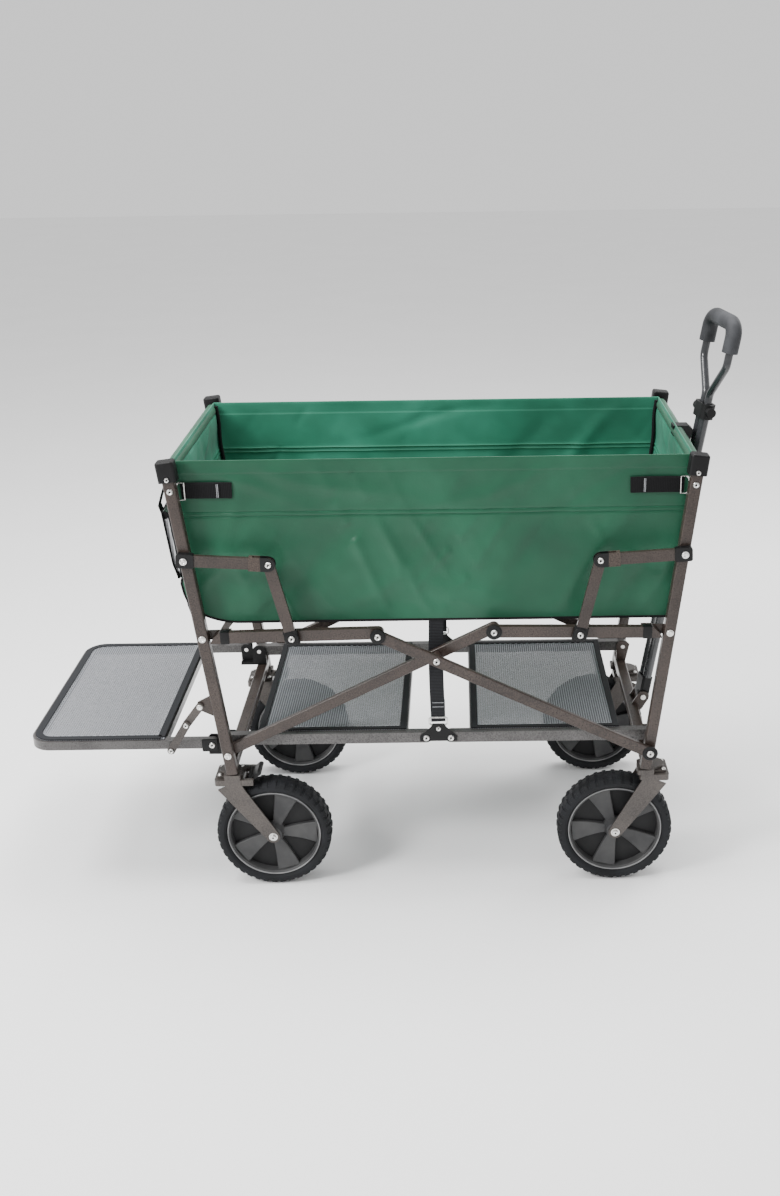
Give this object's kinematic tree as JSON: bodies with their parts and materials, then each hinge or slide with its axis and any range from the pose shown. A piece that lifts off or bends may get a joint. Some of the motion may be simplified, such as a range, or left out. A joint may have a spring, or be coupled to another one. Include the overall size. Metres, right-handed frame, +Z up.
{
  "type": "kids pull wagon",
  "caption": "Folding pull wagon with a deep fabric basket, a lower mesh deck, a drop-down mesh tailgate, swivel casters and a telescoping pull handle.",
  "frame": {"origin": "on the ground under the middle of the whole wagon, tailgate down and handle in", "axes": "+X to the handle end, +Y to the far side, +Z up"},
  "size_m": [1.2562, 0.5046, 0.9973],
  "materials": {
    "frame_tube": "hammertone bronze-brown powder coat",
    "black_plastic": "moulded black nylon",
    "rivet_steel": "zinc plated",
    "bracket_steel": "grey-brown powder coat",
    "mesh_fabric": "coated open weave mesh",
    "basket_fabric": "green coated polyester, satin",
    "floor_board": "stiff board in a green fabric sleeve",
    "webbing": "flat black webbing",
    "tyre_rubber": "black rubber",
    "rim_plastic": "moulded charcoal plastic",
    "handle_tube": "dark grey powder coat",
    "grip_foam": "closed-cell foam grip"
  },
  "bodies": {
    "rear_frame": {"rear_post_near": "frame_tube", "rear_post_far": "frame_tube", "rear_cross_tubes": "frame_tube", "rear_post_caps": "black_plastic", "rear_hinge_brackets": "bracket_steel", "rear_caster_sockets": "bracket_steel", "rear_frame_rivets": "rivet_steel", "rear_pocket": "mesh_fabric", "basket_wall_rear": "basket_fabric", "basket_wall_near": "basket_fabric", "basket_wall_far": "basket_fabric"},
    "front_frame": {"front_post_near": "frame_tube", "front_post_far": "frame_tube", "front_cross_tubes": "frame_tube", "front_post_caps": "black_plastic", "front_caster_sockets": "bracket_steel", "front_frame_rivets": "rivet_steel", "handle_clip": "black_plastic", "basket_wall_front": "basket_fabric"},
    "deck_rear": {"deck_frame_rear": "frame_tube", "deck_mesh_rear": "mesh_fabric"},
    "deck_front": {"deck_frame_front": "frame_tube", "deck_mesh_front": "mesh_fabric"},
    "centre_link": {"centre_brackets": "bracket_steel", "lift_straps": "webbing"},
    "scissor_rear": {"scissor_bars_rear": "frame_tube"},
    "scissor_front": {"scissor_bars_front": "frame_tube"},
    "rails_rear": {"side_rails_rear": "frame_tube"},
    "rails_front": {"side_rails_front": "frame_tube"},
    "struts_rear": {"struts_rear": "frame_tube", "strut_end_caps_rear": "black_plastic"},
    "struts_front": {"struts_front": "frame_tube", "strut_end_caps_front": "black_plastic"},
    "elbows_rear": {"elbow_links_rear": "frame_tube"},
    "elbows_front": {"elbow_links_front": "frame_tube"},
    "floor_rear": {"floor_board_rear": "floor_board"},
    "floor_front": {"floor_board_front": "floor_board"},
    "tailgate": {"tailgate_frame": "frame_tube", "tailgate_mesh": "mesh_fabric"},
    "brace_upper": {"tailgate_braces_upper": "bracket_steel"},
    "brace_lower": {"tailgate_braces_lower": "bracket_steel"},
    "handle": {"handle_yoke": "black_plastic", "handle_stem": "handle_tube", "handle_collar": "black_plastic"},
    "handle_inner": {"handle_loop": "handle_tube", "handle_grip": "grip_foam"},
    "caster_rear_near": {"caster_fork_rear_near": "bracket_steel"},
    "wheel_rear_near": {"rim_rear_near": "rim_plastic", "tyre_rear_near": "tyre_rubber"},
    "caster_rear_far": {"caster_fork_rear_far": "bracket_steel"},
    "wheel_rear_far": {"rim_rear_far": "rim_plastic", "tyre_rear_far": "tyre_rubber"},
    "caster_front_near": {"caster_fork_front_near": "bracket_steel"},
    "wheel_front_near": {"rim_front_near": "rim_plastic", "tyre_front_near": "tyre_rubber"},
    "caster_front_far": {"caster_fork_front_far": "bracket_steel"},
    "wheel_front_far": {"rim_front_far": "rim_plastic", "tyre_front_far": "tyre_rubber"},
    "brake_near": {"brake_pedal_near": "black_plastic"},
    "brake_far": {"brake_pedal_far": "black_plastic"}
  },
  "joints": [
    {"name": "deck_fold", "type": "hinge", "parent": "rear_frame", "child": "deck_rear", "pos_m": [-0.27305, 0, 0.285], "axis": [0, -1, 0], "range_deg": [0, 63], "deforming": ["basket_wall_near", "basket_wall_far"]},
    {"name": "centre_rear_hinge", "type": "hinge", "parent": "deck_rear", "child": "centre_link", "pos_m": [0.07755, 0, 0.285], "axis": [0, -1, 0], "range_deg": [-63.5, 0]},
    {"name": "centre_front_hinge", "type": "hinge", "parent": "centre_link", "child": "deck_front", "pos_m": [0.12135, 0, 0.285], "axis": [0, -1, 0], "range_deg": [-63.5, 0]},
    {"name": "deck_front_hinge", "type": "hinge", "parent": "deck_front", "child": "front_frame", "pos_m": [0.47195, 0, 0.285], "axis": [0, -1, 0], "range_deg": [0, 63.5]},
    {"name": "scissor_rear_pivot", "type": "hinge", "parent": "rear_frame", "child": "scissor_rear", "pos_m": [-0.27195, 0, 0.2697], "axis": [0, -1, 0], "range_deg": [0, 39.5]},
    {"name": "scissor_front_pivot", "type": "hinge", "parent": "front_frame", "child": "scissor_front", "pos_m": [0.47085, 0, 0.2697], "axis": [0, -1, 0], "range_deg": [-39.5, 0]},
    {"name": "rail_rear_pivot", "type": "hinge", "parent": "rear_frame", "child": "rails_rear", "pos_m": [-0.29878, 0, 0.4942], "axis": [0, -1, 0], "range_deg": [0, 55.95]},
    {"name": "rail_front_pivot", "type": "hinge", "parent": "front_frame", "child": "rails_front", "pos_m": [0.49768, 0, 0.4942], "axis": [0, -1, 0], "range_deg": [-55.95, 0]},
    {"name": "strut_rear_pivot", "type": "hinge", "parent": "rear_frame", "child": "struts_rear", "pos_m": [-0.31613, 0, 0.6394], "axis": [0, -1, 0], "range_deg": [0, 61.16]},
    {"name": "strut_front_pivot", "type": "hinge", "parent": "front_frame", "child": "struts_front", "pos_m": [0.51503, 0, 0.6394], "axis": [0, -1, 0], "range_deg": [-61.16, 0]},
    {"name": "elbow_rear_pivot", "type": "hinge", "parent": "struts_rear", "child": "elbows_rear", "pos_m": [-0.17615, 0, 0.631], "axis": [0, -1, 0], "range_deg": [-63.22, 0]},
    {"name": "elbow_front_pivot", "type": "hinge", "parent": "struts_front", "child": "elbows_front", "pos_m": [0.37505, 0, 0.631], "axis": [0, -1, 0], "range_deg": [0, 63.22]},
    {"name": "floor_rear_hinge", "type": "hinge", "parent": "rear_frame", "child": "floor_rear", "pos_m": [-0.28855, 0, 0.518], "axis": [0, -1, 0], "range_deg": [0, 59.89]},
    {"name": "floor_front_hinge", "type": "hinge", "parent": "front_frame", "child": "floor_front", "pos_m": [0.48745, 0, 0.518], "axis": [0, -1, 0], "range_deg": [-59.89, 0]},
    {"name": "tailgate_fold", "type": "hinge", "parent": "rear_frame", "child": "tailgate", "pos_m": [-0.30115, 0, 0.284], "axis": [0, 1, 0], "range_deg": [0, 66]},
    {"name": "brace_upper_pivot", "type": "hinge", "parent": "rear_frame", "child": "brace_upper", "pos_m": [-0.31575, 0, 0.3618], "axis": [0, -1, 0], "range_deg": [-128.44, 0]},
    {"name": "brace_lower_pivot", "type": "hinge", "parent": "tailgate", "child": "brace_lower", "pos_m": [-0.37195, 0, 0.2794], "axis": [0, -1, 0], "range_deg": [0, 90.41]},
    {"name": "handle_pitch", "type": "hinge", "parent": "front_frame", "child": "handle", "pos_m": [0.48745, 0, 0.27], "axis": [0, 1, 0], "range_deg": [0, 75]},
    {"name": "handle_extend", "type": "slide", "parent": "handle", "child": "handle_inner", "axis": [0.1633, 0, 0.9866], "range_m": [0, 0.25]},
    {"name": "swivel_rear_near", "type": "hinge", "parent": "rear_frame", "child": "caster_rear_near", "pos_m": [-0.27455, -0.207, 0.215], "axis": [0, 0, 1], "continuous": true},
    {"name": "wheel_rear_near", "type": "hinge", "parent": "caster_rear_near", "child": "wheel_rear_near", "pos_m": [-0.20255, -0.207, 0.104], "axis": [0, 1, 0], "continuous": true},
    {"name": "swivel_rear_far", "type": "hinge", "parent": "rear_frame", "child": "caster_rear_far", "pos_m": [-0.27455, 0.207, 0.215], "axis": [0, 0, 1], "continuous": true},
    {"name": "wheel_rear_far", "type": "hinge", "parent": "caster_rear_far", "child": "wheel_rear_far", "pos_m": [-0.20255, 0.207, 0.104], "axis": [0, 1, 0], "continuous": true},
    {"name": "swivel_front_near", "type": "hinge", "parent": "front_frame", "child": "caster_front_near", "pos_m": [0.48245, -0.207, 0.215], "axis": [0, 0, 1], "continuous": true},
    {"name": "wheel_front_near", "type": "hinge", "parent": "caster_front_near", "child": "wheel_front_near", "pos_m": [0.41545, -0.207, 0.104], "axis": [0, 1, 0], "continuous": true},
    {"name": "swivel_front_far", "type": "hinge", "parent": "front_frame", "child": "caster_front_far", "pos_m": [0.48245, 0.207, 0.215], "axis": [0, 0, 1], "continuous": true},
    {"name": "wheel_front_far", "type": "hinge", "parent": "caster_front_far", "child": "wheel_front_far", "pos_m": [0.41545, 0.207, 0.104], "axis": [0, 1, 0], "continuous": true},
    {"name": "brake_near", "type": "hinge", "parent": "caster_rear_near", "child": "brake_near", "pos_m": [-0.23855, -0.207, 0.215], "axis": [0, 1, 0], "range_deg": [0, 15]},
    {"name": "brake_far", "type": "hinge", "parent": "caster_rear_far", "child": "brake_far", "pos_m": [-0.23855, 0.207, 0.215], "axis": [0, 1, 0], "range_deg": [0, 15]}
  ],
  "couplings": [
    {"joint": "centre_rear_hinge", "follows": "deck_fold", "ratio": -1},
    {"joint": "centre_front_hinge", "follows": "deck_fold", "ratio": -1},
    {"joint": "deck_front_hinge", "follows": "deck_fold", "ratio": 1},
    {"joint": "scissor_rear_pivot", "follows": "deck_fold", "ratio": 0.61907},
    {"joint": "scissor_front_pivot", "follows": "deck_fold", "ratio": -0.61907},
    {"joint": "rail_rear_pivot", "follows": "deck_fold", "ratio": 0.88017},
    {"joint": "rail_front_pivot", "follows": "deck_fold", "ratio": -0.88017},
    {"joint": "strut_rear_pivot", "follows": "deck_fold", "ratio": 0.96283},
    {"joint": "strut_front_pivot", "follows": "deck_fold", "ratio": -0.96283},
    {"joint": "elbow_rear_pivot", "follows": "deck_fold", "ratio": -0.99549},
    {"joint": "elbow_front_pivot", "follows": "deck_fold", "ratio": 0.99549},
    {"joint": "floor_rear_hinge", "follows": "deck_fold", "ratio": 0.94264},
    {"joint": "floor_front_hinge", "follows": "deck_fold", "ratio": -0.94264},
    {"joint": "brace_upper_pivot", "follows": "tailgate_fold", "ratio": -1.9384},
    {"joint": "brace_lower_pivot", "follows": "tailgate_fold", "ratio": 1.3623}
  ]
}
